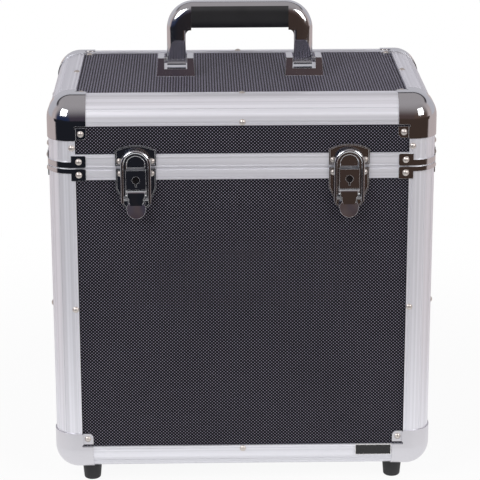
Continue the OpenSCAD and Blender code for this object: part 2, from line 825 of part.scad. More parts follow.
// A bracket at an upright edge: band of height band, from z = 0 up
module brace(band, band_z) {
    translate([0, 0, band_z]) linear_extrude(band) {
        difference() {
            intersection() {
                translate([edge_r, edge_r]) circle(edge_r + brace_t);
                translate([-brace_t, -brace_t]) square(edge_r + brace_t);
            }
            translate([edge_r, edge_r]) circle(edge_r);
        }
        translate([edge_r, -brace_t]) square([brace_w / 2, brace_t]);
        translate([-brace_t, edge_r]) square([brace_t, brace_w / 2]);
    }
    rotate([90, 0, 0]) linear_extrude(brace_t) brace_outline(brace_h);
    translate([-brace_t, 0, 0]) rotate([90, 0, 90]) linear_extrude(brace_t) brace_outline(brace_h);
}

module body_seam_brackets() {
    color(chrome) in_case() difference() {
        at_upright_edges() translate([0, 0, seam_z - brace_drop - brace_h])
            brace(body_band_h, brace_h - body_band_h);
        body_rivet_set(true);
    }
}

module lid_seam_brackets() {
    color(chrome) in_case() difference() {
        at_upright_edges() translate([0, 0, lid_z]) brace(lid_band_h, 0);
        lid_rivet_set(true);
    }
}

// ---------- Feet and blank plate ----------

module foot_places() {
    for (sx = [-1, 1], sy = [-1, 1])
        translate([sx * (half_w - foot_in), sy * (half_d - foot_in), 0]) children();
}

// Half section of a foot: X is the radius, Y is up, top at zero
module foot_section() {
    // the round edge meets the tapered side and the flat base
    difference() {
        union() {
            polygon([[0, -foot_h + foot_round], [foot_base_r, -foot_h + foot_round],
                     [foot_r, -cap_t], [0, -cap_t]]);
            // neck that reaches the tab in the recess
            translate([0, -cap_t - eps]) square([foot_neck_r, cap_t + rail_t - tab_t + eps]);
            translate([0, -foot_h]) square([foot_base_r - foot_round, foot_round + eps]);
            intersection() {
                translate([foot_base_r - foot_round, -foot_h + foot_round]) circle(foot_round);
                translate([0, -foot_h]) square([foot_base_r, foot_round + eps]);
            }
        }
        translate([0, -foot_h]) square([foot_head_r + 0.3, foot_recess]);
        square([2 * (foot_screw_r + shank_gap), 2 * foot_h + 2], center = true);
    }
}

module feet() {
    color(rubber) in_case() foot_places() rotate_extrude() foot_section();
}

module foot_screws() {
    head_z = -foot_h + foot_recess;
    color(steel) in_case() foot_places() {
        translate([0, 0, head_z - eps]) cylinder(r = foot_screw_r, h = foot_screw_reach - head_z + eps);
        difference() {
            translate([0, 0, head_z - 2.4]) cylinder(r = foot_head_r, h = 2.4);
            // cross recess
            for (a = [0, 90])
                rotate(a) translate([-2.2, -0.4, head_z - 2.4 - eps]) cube([4.4, 0.8, 1.2]);
        }
    }
}

module blank_plate() {
    right = half_w - cap_l - 0.8;
    top = rail_w + 0.4;
    color(laminate) in_case() translate([right - plate_w, -half_d, top - plate_h]) difference() {
        union() {
            translate([0, -plate_t, 0]) cube([plate_w, plate_t + rail_t, plate_h]);
            difference() {
                translate([0, -plate_t - plate_lip, 0]) cube([plate_w, plate_lip + eps, plate_h]);
                translate([plate_edge, -plate_t - 2 * plate_lip, plate_edge])
                    cube([plate_w - 2 * plate_edge, 2 * plate_lip + eps, plate_h - 2 * plate_edge]);
            }
        }
        // the back follows the round of the rail
        translate([-1, edge_r, edge_r - top + plate_h]) rotate([0, 90, 0])
            cylinder(r = edge_r + 0.02, h = plate_w + 2, $fn = 96);
        translate([-1, 0, edge_r - top + plate_h]) cube([plate_w + 2, rail_t + 2, rail_w]);
    }
}

// ---------- Latches ----------

// Keeper outline, drawn in by inset on every side
module keeper_outline(inset) {
    crown = keeper_up + keeper_h + keeper_rise;
    intersection() {
        translate([0, crown - keeper_top_r]) circle(keeper_top_r - inset, $fn = 180);
        translate([-keeper_w / 2 + inset, keeper_up + inset]) square([keeper_w - 2 * inset, 2 * keeper_h]);
    }
}

// Keeper boss outline: flat foot, round top
module boss_outline() {
    low = seam_gap + 0.6;
    intersection() {
        union() {
            translate([-boss_w / 2, low]) square([boss_w, bail_arc_z - low]);
            translate([0, bail_arc_z]) circle(boss_w / 2);
        }
        translate([-boss_w, low]) square(2 * boss_w);
    }
}

module keeper(side) {
    color(chrome) difference() {
        at_latch(side) {
            front_plate(-latch_t, 0) keeper_outline(0);
            front_plate(-latch_t - border_h, -latch_t + eps) difference() {
                keeper_outline(0);
                keeper_outline(border_w);
            }
            // foot that reaches back to the panel above the rim
            front_plate(-eps, rail_t) intersection() {
                keeper_outline(1);
                translate([-keeper_w, seam_gap + lid_rim_h + slot_gap]) square(2 * keeper_w);
            }
            front_plate(-boss_out, -latch_t + eps) boss_outline();
        }
        in_case() lid_rivet_set(true);
    }
}

// Base outline: straight upper part, tapered and rounded lower end
module base_outline(inset) {
    half = base_w / 2 - inset;
    end_half = base_end_w / 2 - inset;
    round_r = base_round - inset;
    low = -base_l - base_up + inset;
    translate([-half, -base_straight - base_up]) square([2 * half, base_straight - inset]);
    polygon([[-half, -base_straight - base_up + eps], [half, -base_straight - base_up + eps],
             [end_half, low + round_r], [-end_half, low + round_r]]);
    translate([-end_half + round_r, low]) square([2 * (end_half - round_r), round_r + eps]);
    for (s = [-1, 1])
        translate([s * (end_half - round_r), low + round_r]) circle(round_r);
}

module latch_base(side) {
    color(chrome) difference() {
        at_latch(side) {
            front_plate(-latch_t, 0) base_outline(0);
            // raised border, open at the lock housing
            front_plate(-latch_t - border_h, -latch_t + eps) difference() {
                base_outline(0);
                base_outline(border_w);
                translate([-lock_w / 2 - 0.1, -lock_h]) square([lock_w + 0.2, lock_h]);
            }
            // foot that reaches back to the panel below the rim
            front_plate(-eps, rail_t) intersection() {
                base_outline(1);
                translate([-base_w, -body_rim_h - 0.1 - 2 * base_w]) square(2 * base_w);
            }
            // ears that carry the lever pin
            for (s = [-1, 1]) difference() {
                union() {
                    translate([s * (ear_in + ear_t / 2), -lever_out, -lever_z]) rotate([0, 90, 0])
                        cylinder(r = ear_r, h = ear_t, center = true);
                    translate([s * (ear_in + ear_t / 2) - ear_t / 2, -lever_out, -lever_z - ear_r])
                        cube([ear_t, lever_out - latch_t + eps, 2 * ear_r]);
                }
                translate([s * (ear_in + ear_t / 2), -lever_out, -lever_z]) rotate([0, 90, 0])
                    cylinder(r = latch_pin_r + run_gap, h = ear_t + 1, center = true);
            }
        }
        in_case() body_rivet_set(true);
    }
}

module lock_housing(side) {
    color(chrome) at_latch(side) difference() {
        translate([-lock_w / 2, -lock_out, -lock_z - lock_h / 2])
            cube([lock_w, lock_out - latch_t, lock_h]);
        translate([-lock_w / 2 + lock_wall, -lock_front, -lock_z - lock_h / 2 + lock_wall])
            cube([lock_w - 2 * lock_wall, lock_front, lock_h - 2 * lock_wall]);
        // keyhole: the barrel bore and the slot for the bit of the key
        translate([0, 0, -lock_z]) front_plate(-lock_out - 1, -lock_front + 1) {
            circle(barrel_r + run_gap);
            translate([-key_w / 2, -key_reach]) square([key_w, key_reach]);
        }
    }
}

module lock_barrel(side) {
    cam_l = 6.4;
    cam_w = 3.2;
    collar_r = barrel_r + 1.1;
    post_r = 0.9;
    color(steel) at_latch(side) translate([0, 0, -lock_z]) {
        difference() {
            union() {
                front_plate(-lock_out + 0.3, -3.4) circle(barrel_r);
                front_plate(-lock_front + 0.15, -lock_front + 1.2) circle(collar_r);
                // cam behind the barrel
                front_plate(-3.4 - eps, -1.9) {
                    circle(barrel_r - 0.4);
                    translate([-cam_w / 2, -cam_l]) square([cam_w, cam_l]);
                }
            }
            // well for the key, with its slot
            front_plate(-lock_out - 1, -lock_out + 3) {
                circle(barrel_r - 0.9);
                translate([-key_w / 2, -barrel_r - 0.2]) square([key_w, barrel_r + 0.2]);
            }
        }
        // post that guides the key
        front_plate(-lock_out + 0.8, -lock_out + 3 + eps) circle(post_r);
    }
}

// Lever sheet outline: barrel width, then the neck
module lever_outline() {
    shoulder = 3.6;                             // lower end of the wide part
    neck_top = 5.2;
    neck_low = crease_l - 3.3;
    waist = neck_w - 2;                         // width at the crease
    for (m = [0, 1]) mirror([m, 0])
        polygon([[0, 0], [lever_w / 2, 0], [lever_w / 2, -shoulder], [neck_w / 2, -neck_top],
                 [neck_w / 2, -neck_low], [waist / 2, -crease_l + 1.2], [waist / 2, -crease_l],
                 [0, -crease_l]]);
}

module lever(side) {
    face = lever_r;                             // front of the lever, from its pivot
    color(chrome) at_latch(side) translate([0, -lever_out, -lever_z]) difference() {
        union() {
            rotate([0, 90, 0]) cylinder(r = lever_r, h = lever_w, center = true);
            front_plate(-face, -face + lever_t) lever_outline();
            // cheeks that carry the bail pin
            for (s = [-1, 1])
                translate([s * (neck_w / 2 - lever_t / 2) - lever_t / 2, -face, -toggle_l - 2.2])
                    cube([lever_t, face + bail_shift + 2, toggle_l + 2.2]);
            // finger tab, leaning outwards from the crease
            translate([0, -face, -crease_l]) rotate([-finger_lean, 0, 0])
                front_plate(0, lever_t) finger_outline();
            // round crease between sheet and tab
            translate([0, -face + lever_t / 2, -crease_l]) rotate([0, 90, 0])
                cylinder(r = lever_t / 2, h = neck_w - 2, center = true);
        }
        rotate([0, 90, 0]) cylinder(r = latch_pin_r + run_gap, h = lever_w + 2, center = true);
        translate([0, bail_shift, -toggle_l]) rotate([0, 90, 0])
            cylinder(r = latch_pin_r + run_gap, h = lever_w + 2, center = true);
    }
}

module finger_outline() {
    half = finger_w / 2;
    translate([-half, -finger_l + half]) square([finger_w, finger_l - half - 1.5]);
    translate([-half + 1.5, -2]) square([finger_w - 3, 2]);
    for (s = [-1, 1]) translate([s * (half - 1.5), -1.5]) circle(1.5);
    translate([0, -finger_l + half]) circle(half);
}

module lever_pin(side) {
    color(steel) at_latch(side) translate([0, -lever_out, -lever_z]) rotate([0, 90, 0])
        cylinder(r = latch_pin_r, h = 2 * (ear_in + ear_t), center = true);
}

module bail_pin(side) {
    color(steel) at_latch(side) translate([0, -bail_out, -bail_z]) rotate([0, 90, 0])
        cylinder(r = latch_pin_r, h = bail_w, center = true);
}

// Section of the bail's outer ring: X from the middle, Y out from the back
module bail_leg_section() {
    round_r = bail_leg_t / 2;
    translate([bail_r - bail_leg_t, 0]) square([bail_leg_t, bail_d - round_r]);
    translate([bail_r - round_r, bail_d - round_r]) circle(round_r);
}

// Section of the arch: the outer ring and the lower ring inside it
module bail_arch_section() {
    round_r = 1;
    inner = bail_eye_w / 2;
    outer = bail_r - bail_leg_t + 0.5;
    bail_leg_section();
    translate([inner, 0]) square([outer - inner, bail_ring_d - round_r]);
    translate([inner + round_r, 0]) square([outer - inner - round_r, bail_ring_d]);
    translate([inner + round_r, bail_ring_d - round_r]) circle(round_r);
}

module bail(side) {
    color(chrome) at_latch(side) translate([0, -bail_back, 0]) difference() {
        union() {
            // arch over the keeper boss
            intersection() {
                translate([0, 0, bail_arc_z]) rotate([90, 0, 0]) rotate_extrude() bail_arch_section();
                translate([-bail_w, -bail_w, bail_arc_z]) cube(2 * bail_w);
            }
            // both sides of the arch, then the long legs
            for (s = [0, 1]) mirror([s, 0, 0]) mirror([0, 1, 0]) {
                linear_extrude(bail_arc_z) bail_arch_section();
                translate([0, 0, -bail_leg_low]) linear_extrude(bail_leg_low) bail_leg_section();
            }
        }
        translate([0, -bail_d / 2, -bail_z]) rotate([0, 90, 0])
            cylinder(r = latch_pin_r + run_gap, h = bail_w + 2, center = true);
    }
}

// ---------- Rear hinges ----------

// One leaf above the seam, joined to its knuckles, hinge axis at the origin
module hinge_leaf(centres, others) {
    rear_face = -hinge_out;
    root = 0.62 * knuckle_r;                    // root that joins a knuckle to its leaf
    root_w = knuckle_l - knuckle_gap - 1;
    difference() {
        union() {
            difference() {
                union() {
                    // plate on the rim, then a foot back to the panel
                    translate([-hinge_l / 2, rear_face, leaf_low])
                        cube([hinge_l, leaf_t, leaf_h - leaf_low]);
                    translate([-hinge_l / 2 + 1, rear_face - rail_t, leaf_rim + 0.1])
                        cube([hinge_l - 2, rail_t + eps, leaf_h - leaf_rim - 1.1]);
                }
                for (c = others)
                    translate([c * knuckle_l, 0, 0]) rotate([0, 90, 0])
                        cylinder(r = leaf_clear, h = knuckle_l + knuckle_gap, center = true);
            }
            for (c = centres) {
                translate([c * knuckle_l, 0, 0]) rotate([0, 90, 0])
                    cylinder(r = knuckle_r, h = knuckle_l - knuckle_gap, center = true);
                translate([c * knuckle_l - root_w / 2, rear_face, leaf_low])
                    cube([root_w, hinge_out - root, root - leaf_low]);
            }
        }
        rotate([0, 90, 0]) cylinder(r = hinge_pin_r + run_gap, h = hinge_l + 2, center = true);
    }
}

module at_hinges() {
    in_case() for (s = [-1, 1]) translate([s * hinge_x, half_d + hinge_out, seam_z]) children();
}

module body_hinge_leaves() {
    color(chrome) difference() {
        at_hinges() mirror([0, 0, 1]) hinge_leaf([-1, 1], [0]);
        in_case() body_rivet_set(true);
    }
}

module lid_hinge_leaves() {
    color(chrome) difference() {
        at_hinges() hinge_leaf([0], [-1, 1]);
        in_case() lid_rivet_set(true);
    }
}

module hinge_pins() {
    color(steel) at_hinges() rotate([0, 90, 0])
        cylinder(r = hinge_pin_r, h = hinge_l, center = true);
}

// ---------- Handle ----------

module bracket_screw_places() {
    for (s = [-1, 1], sx = [-1, 1], sy = [-1, 1])
        translate([s * bracket_x + sx * screw_x, sy * screw_y, case_h]) children();
}

// A tapered block seen from one side: foot width, top width, height
module taper(foot, top, h, long) {
    rotate([90, 0, 0]) linear_extrude(long, center = true)
        polygon([[-foot / 2, 0], [foot / 2, 0], [top / 2, h], [-top / 2, h]]);
}

module handle_bracket(side) {
    channel = leg_w + 2 * leg_gap;
    color(chrome) in_case() difference() {
        translate([side * bracket_x, 0, case_h - rail_t]) intersection() {
            taper(bracket_w, bracket_top_w, bracket_h + rail_t, 2 * bracket_d);
            rotate(90) taper(bracket_d, bracket_top_d, bracket_h + rail_t, 2 * bracket_w);
        }
        // channel for the leg, open to the front and the rear
        translate([side * bracket_x - channel / 2, -bracket_d, case_h + ledge_h])
            cube([channel, 2 * bracket_d, bracket_h]);
        translate([side * bracket_x, 0, pivot_z]) rotate([0, 90, 0])
            cylinder(r = pivot_r + run_gap, h = bracket_w + 2, center = true);
        bracket_screw_places() translate([0, 0, -rail_t - 1])
            cylinder(r = bracket_screw_r + shank_gap, h = rail_t + 1 + screw_bite + 0.2);
    }
}

module bracket_screws() {
    color(steel) in_case() bracket_screw_places() {
        translate([0, 0, -panel_back - eps])
            cylinder(r = bracket_screw_r, h = panel_back + screw_bite + eps);
        translate([0, 0, -panel_back - bracket_head_h])
            cylinder(r = bracket_screw_r + 2, h = bracket_head_h);
    }
}

// Half section of the bend, from its axis out to the round rim
module bend_section() {
    square([elbow_r - grip_round, grip_d], center = false);
    translate([0, grip_round]) square([elbow_r, grip_d - 2 * grip_round]);
    for (y = [grip_round, grip_d - grip_round])
        translate([elbow_r - grip_round, y]) circle(grip_round);
}

// Plan of a leg: outer edges rounded like the grip, inner edges a little
module leg_plan() {
    for (y = [-1, 1]) {
        translate([-leg_out + grip_round, y * (grip_d / 2 - grip_round)]) circle(grip_round);
        translate([-leg_in - leg_round, y * (grip_d / 2 - leg_round)]) circle(leg_round);
    }
    translate([-leg_out, -grip_d / 2 + grip_round]) square([leg_w, grip_d - 2 * grip_round]);
    translate([-leg_out + grip_round, -grip_d / 2])
        square([leg_w - grip_round - leg_round, grip_d]);
    translate([-leg_in - 2 * leg_round, -grip_d / 2 + leg_round])
        square([2 * leg_round, grip_d - 2 * leg_round]);
}

// Side view of a leg: round end, then widening to the elbow
module leg_side_outline() {
    circle(leg_end_r);
    polygon([[-leg_end_r, 0], [leg_end_r, 0], [grip_d / 2, leg_taper], [grip_d / 2, 2 * elbow_r + leg_taper],
             [-grip_d / 2, 2 * elbow_r + leg_taper], [-grip_d / 2, leg_taper]]);
}

// Front view of what a quarter bend fills: all of it over the leg, its top over the grip
module bend_reach() {
    polygon([[-leg_out - 1, elbow_z], [-grip_half, elbow_z], [-grip_half, strip_z],
             [-strip_half, strip_z], [-strip_half, elbow_z + elbow_r + 1],
             [-leg_out - 1, elbow_z + elbow_r + 1]]);
}

module left_leg() {
    difference() {
        intersection() {
            union() {
                // quarter bend over the leg
                intersection() {
                    translate([-leg_out + elbow_r, grip_d / 2, elbow_z]) rotate([90, 0, 0])
                        rotate_extrude($fn = 96) bend_section();
                    front_plate(-grip_d, grip_d) bend_reach();
                }
                translate([0, 0, pivot_z - leg_end_r - 1])
                    linear_extrude(elbow_z - pivot_z + leg_end_r + 1 + eps) leg_plan();
                // fillet between the leg and the underside
                front_plate(-grip_d / 2 + leg_round, grip_d / 2 - leg_round) difference() {
                    translate([-leg_in - eps, elbow_z - elbow_fillet]) square(elbow_fillet + eps);
                    translate([-leg_in + elbow_fillet, elbow_z - elbow_fillet]) circle(elbow_fillet);
                }
            }
            translate([-case_w / 2, 0, pivot_z]) rotate([90, 0, 90]) linear_extrude(case_w)
                leg_side_outline();
        }
        translate([-leg_x, 0, pivot_z]) rotate([0, 90, 0])
            cylinder(r = pivot_r + run_gap, h = leg_w + 2, center = true);
        translate([-grip_half - core_in - 0.5, 0, grip_z]) rotate([0, 90, 0])
            cylinder(r = core_r + run_gap, h = core_in + 2);
    }
}

// One bright casting: two legs, their bends and the strip over the grip
module handle_bow() {
    color(chrome) in_case() {
        left_leg();
        mirror([1, 0, 0]) left_leg();
        translate([-strip_half, 0, grip_z]) rotate([90, 0, 90]) linear_extrude(2 * strip_half)
            intersection() {
                grip_section();
                translate([-grip_d, grip_h / 2 - strip_h]) square([2 * grip_d, grip_h]);
            }
    }
}

// Rounded section of the grip
module grip_section() {
    for (y = [-1, 1], z = [-1, 1])
        translate([y * (grip_d / 2 - grip_round), z * (grip_h / 2 - grip_round)]) circle(grip_round);
    square([grip_d, grip_h - 2 * grip_round], center = true);
    square([grip_d - 2 * grip_round, grip_h], center = true);
}

module handle_grip() {
    color(grip_black) in_case() translate([0, 0, grip_z]) difference() {
        translate([-grip_half + 0.05, 0, 0]) rotate([90, 0, 90])
            linear_extrude(2 * grip_half - 0.1) difference() {
                grip_section();
                translate([-grip_d, grip_h / 2 - strip_h - 0.05]) square([2 * grip_d, grip_h]);
            }
        rotate([0, 90, 0]) cylinder(r = core_r + run_gap, h = 2 * grip_half + 2, center = true);
    }
}

module handle_core() {
    color(steel) in_case() translate([0, 0, grip_z]) rotate([0, 90, 0])
        cylinder(r = core_r, h = 2 * (grip_half + core_in), center = true);
}

module handle_pins() {
    // width of a bracket at the height of its pin
    at_pin = bracket_w + (bracket_top_w - bracket_w) * (pivot_h + rail_t) / (bracket_h + rail_t);
    color(steel) in_case() for (s = [-1, 1])
        translate([s * bracket_x, 0, pivot_z]) rotate([0, 90, 0])
            cylinder(r = pivot_r, h = at_pin - 1, center = true);
}

// ---------- Drawing ----------

front_panel();
rear_panel();
left_panel();
right_panel();
bottom_panel();
body_lining();
body_corner_posts();
bottom_edge_rails();
body_rim();
bottom_corner_caps();
body_seam_brackets();
body_rivets();
feet();
foot_screws();
blank_plate();
lid_top_panel();
lid_front_panel();
lid_rear_panel();
lid_left_panel();
lid_right_panel();
lid_lining();
lid_corner_posts();
top_edge_rails();
lid_rim();
top_corner_caps();
lid_seam_brackets();
lid_rivets();
keeper(-1);  // left_keeper
latch_base(-1);  // left_latch_base
lock_housing(-1);  // left_lock_housing
lock_barrel(-1);  // left_lock_barrel
lever(-1);  // left_lever
lever_pin(-1);  // left_lever_pin
bail(-1);  // left_bail
bail_pin(-1);  // left_bail_pin
keeper(1);  // right_keeper
latch_base(1);  // right_latch_base
lock_housing(1);  // right_lock_housing
lock_barrel(1);  // right_lock_barrel
lever(1);  // right_lever
lever_pin(1);  // right_lever_pin
bail(1);  // right_bail
bail_pin(1);  // right_bail_pin
body_hinge_leaves();
lid_hinge_leaves();
hinge_pins();
handle_bracket(-1);  // left_handle_bracket
handle_bracket(1);  // right_handle_bracket
bracket_screws();
handle_bow();
handle_grip();
handle_core();
handle_pins();
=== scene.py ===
"""Looks of the record carrying case: materials on the CAD nodes, studio and camera.

Metres, in the frame of the CAD model: +Z up, the latches towards -Y.
"""

import logging
import math
from collections.abc import Mapping
from dataclasses import dataclass
from enum import Enum
from typing import Any, Union

import bmesh
import bpy
from mathutils import Matrix, Vector


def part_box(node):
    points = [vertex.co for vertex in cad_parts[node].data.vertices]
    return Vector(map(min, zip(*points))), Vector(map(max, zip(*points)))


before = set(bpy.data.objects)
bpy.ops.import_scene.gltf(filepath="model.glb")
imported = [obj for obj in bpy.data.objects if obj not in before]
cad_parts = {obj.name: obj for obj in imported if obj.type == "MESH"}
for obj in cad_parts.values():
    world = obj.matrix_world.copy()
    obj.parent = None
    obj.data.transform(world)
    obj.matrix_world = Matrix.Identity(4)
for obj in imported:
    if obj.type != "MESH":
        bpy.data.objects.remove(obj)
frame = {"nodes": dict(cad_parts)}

LOG = logging.getLogger("record_case")
MM = 0.001
Colour = tuple[float, float, float]
Span = tuple[float, float]
Operand = Union["Signal", float]
WHITE: Colour = (1.0, 1.0, 1.0)


class Plane(Enum):
    """The two object axes that a flat pattern is drawn on."""

    FRONT = ("X", "Z")
    SIDE = ("Y", "Z")
    LEVEL = ("X", "Y")


class Run(Enum):
    """The way a drawn aluminium section runs."""

    UPRIGHT = "Z"
    AROUND = "XY"


# ---------- Shader maths ----------


@dataclass(frozen=True)
class Signal:
    """A number that varies over a surface, with arithmetic that adds its nodes."""

    graph: "Graph"
    socket: bpy.types.NodeSocket

    def __add__(self, other: Operand) -> "Signal":
        """Sum of two numbers."""
        return self.graph.math("ADD", self, other)

    def __radd__(self, other: float) -> "Signal":
        """Sum with a plain number first."""
        return self.graph.math("ADD", other, self)

    def __sub__(self, other: Operand) -> "Signal":
        """Difference of two numbers."""
        return self.graph.math("SUBTRACT", self, other)

    def __rsub__(self, other: float) -> "Signal":
        """Difference with a plain number first."""
        return self.graph.math("SUBTRACT", other, self)

    def __mul__(self, other: Operand) -> "Signal":
        """Product of two numbers."""
        return self.graph.math("MULTIPLY", self, other)

    def __rmul__(self, other: float) -> "Signal":
        """Product with a plain number first."""
        return self.graph.math("MULTIPLY", other, self)

    def __gt__(self, other: Operand) -> "Signal":
        """One where this number is the larger, else nothing."""
        return self.graph.math("GREATER_THAN", self, other)

    def __abs__(self) -> "Signal":
        """The number without its sign."""
        return self.graph.math("ABSOLUTE", self)

    def cos(self) -> "Signal":
        """Cosine of an angle in radians."""
        return self.graph.math("COSINE", self)

    def ramp(self, low: float, high: float) -> "Signal":
        """A smooth step.

        Args:
            low: The number at which the step starts, where the result is 0.
            high: The number at which it ends, where the result is 1.

        Returns:
            A number from 0 to 1.
        """
        return self.graph.signal(
            "ShaderNodeMapRange",
            {"interpolation_type": "SMOOTHSTEP"},
            {"Value": self, "From Min": low, "From Max": high},
        )

    def spread(self, low: float, high: float) -> "Signal":
        """This number from 0 to 1, brought to lie between low and high."""
        return self * (high - low) + low


@dataclass(frozen=True)
class Graph:
    """A node tree, and the one method that adds any node to it."""

    tree: bpy.types.NodeTree
    edge_match: Span = (0.99, 0.80)
    edge_samples: int = 12

    @classmethod
    def of(cls, owner: bpy.types.Material | bpy.types.World) -> "Graph":
        """Empties the node tree of a material or a world.

        Args:
            owner: The material or the world.

        Returns:
            Its node tree, ready for new nodes.
        """
        owner.use_nodes = True
        owner.node_tree.nodes.clear()
        return cls(owner.node_tree)

    def node(
        self,
        kind: str,
        settings: Mapping[str, Any] | None = None,
        inputs: Mapping[Any, Any] | None = None,
    ) -> bpy.types.Node:
        """Adds a node.

        Args:
            kind: Blender's name of the node's type.
            settings: The node's own settings, which are set first.
            inputs: A value or a link for each socket that isn't left as it is.

        Returns:
            The node.
        """
        made = self.tree.nodes.new(kind)
        for name, value in (settings or {}).items():
            setattr(made, name, value)
        for key, value in (inputs or {}).items():
            socket = made.inputs[key]
            link = value.socket if isinstance(value, Signal) else value
            if isinstance(link, bpy.types.NodeSocket):
                self.tree.links.new(link, socket)
            else:
                socket.default_value = link
        return made

    def signal(
        self,
        kind: str,
        settings: Mapping[str, Any] | None = None,
        inputs: Mapping[Any, Any] | None = None,
        output: Any = 0,
    ) -> Signal:
        """Adds a node and gives one of its outputs as a number.

        Args:
            kind: Blender's name of the node's type.
            settings: The node's own settings.
            inputs: A value or a link for each socket that isn't left as it is.
            output: The name or place of the output.

        Returns:
            The output.
        """
        return Signal(self, self.node(kind, settings, inputs).outputs[output])

    def math(self, operation: str, *values: Operand) -> Signal:
        """Adds one Math node on one or two numbers."""
        inputs = dict(enumerate(values))
        return self.signal("ShaderNodeMath", {"operation": operation}, inputs)

    def ray(self, kind: str) -> Signal:
        """One where a ray of this kind looks at the surface, else nothing."""
        return self.signal("ShaderNodeLightPath", output=f"Is {kind} Ray")

    def place(self) -> bpy.types.NodeSocket:
        """The point on the surface, in the object's own frame."""
        return self.node("ShaderNodeTexCoord").outputs["Object"]

    def axes(self, point: bpy.types.NodeSocket) -> dict[str, Signal]:
        """The three parts of a point or direction, by the name of the axis."""
        split = self.node("ShaderNodeSeparateXYZ", None, {"Vector": point})
        return {name: Signal(self, split.outputs[name]) for name in "XYZ"}

    def vector(self, x: Operand, y: Operand, z: Operand) -> bpy.types.NodeSocket:
        """Three numbers as one vector."""
        return self.node("ShaderNodeCombineXYZ", None, {"X": x, "Y": y, "Z": z}).outputs[0]

    def noise(
        self, point: bpy.types.NodeSocket, scale: float, detail: float = 2.0
    ) -> Signal:
        """Soft noise.

        Args:
            point: The point at which the noise is read.
            scale: How many cells there are to a unit of the point.
            detail: How many finer layers lie over the first.

        Returns:
            A number from 0 to 1.
        """
        inputs = {"Vector": point, "Scale": scale, "Detail": detail}
        return self.signal("ShaderNodeTexNoise", None, inputs)

    def blend(self, amount: Operand, low: Any, high: Any) -> bpy.types.NodeSocket:
        """A colour between two others.

        Args:
            amount: 0 for the first colour and 1 for the second.
            low: The first colour, as three numbers or a socket.
            high: The second colour.

        Returns:
            The socket of the colour.
        """
        full = [(*c, 1.0) if isinstance(c, tuple) else c for c in (low, high)]
        settings = {"data_type": "RGBA", "clamp_factor": True}
        mixed = self.node("ShaderNodeMix", settings, {0: amount, 6: full[0], 7: full[1]})
        return mixed.outputs[2]

    def bump(
        self,
        height: Signal,
        distance: float,
        normal: bpy.types.NodeSocket | None = None,
    ) -> bpy.types.NodeSocket:
        """The normal of a surface in relief.

        Args:
            height: The relief, as a number.
            distance: How many metres one unit of it is high.
            normal: The normal that the relief stands on, where it isn't the face's own.

        Returns:
            The socket of the normal.
        """
        inputs = {"Height": height, "Distance": distance, "Strength": 1.0}
        if normal is not None:
            inputs["Normal"] = normal
        return self.node("ShaderNodeBump", None, inputs).outputs[0]

    def edge(self, radius: float) -> Signal:
        """How near a point lies to an edge of its piece.

        Args:
            radius: The width of the edge in metres.

        Returns:
            0 on a flat face and up to 1 on the edge.
        """
        flat = self.node("ShaderNodeNewGeometry").outputs["Normal"]
        both = {0: flat, 1: self.soft_edge(radius)}
        settings = {"operation": "DOT_PRODUCT"}
        match = self.signal("ShaderNodeVectorMath", settings, both, "Value")
        return match.ramp(*self.edge_match)

    def soft_edge(self, radius: float) -> bpy.types.NodeSocket:
        """The surface's normal with its edges rounded off by so many metres."""
        settings = {"samples": self.edge_samples}
        return self.node("ShaderNodeBevel", settings, {"Radius": radius}).outputs[0]


# ---------- Finishes ----------


@dataclass(frozen=True)
class Finish:
    """What every finish has: a name, a colour, how rough it is and how far that varies."""

    title: str = "plain"
    colour: Colour = (0.5, 0.5, 0.5)
    rough: float = 0.5
    rough_play: Span = (0.0, 0.0)

    def material(self) -> bpy.types.Material:
        """Builds the material, unless it was built before.

        Returns:
            The material of this finish's name.
        """
        known = bpy.data.materials.get(self.title)
        if known is not None:
            return known
        made = bpy.data.materials.new(self.title)
        graph = Graph.of(made)
        shader = graph.node("ShaderNodeBsdfPrincipled", None, self.sockets(graph))
        graph.node("ShaderNodeOutputMaterial", None, {"Surface": shader.outputs[0]})
        made.diffuse_color = (*self.colour, 1.0)
        return made

    def sockets(self, graph: Graph) -> dict[str, Any]:
        """The values and links of the shader's sockets."""
        return {"Base Color": (*self.colour, 1.0), "Roughness": self.rough}

    def roughness(self, pattern: Signal) -> Signal:
        """How rough the surface is where the pattern has this number."""
        less, more = self.rough_play
        return pattern.spread(self.rough + less, self.rough + more)

    def shaded(self, share: float) -> Colour:
        """The finish's colour, so many times as bright."""
        return tuple(part * share for part in self.colour)


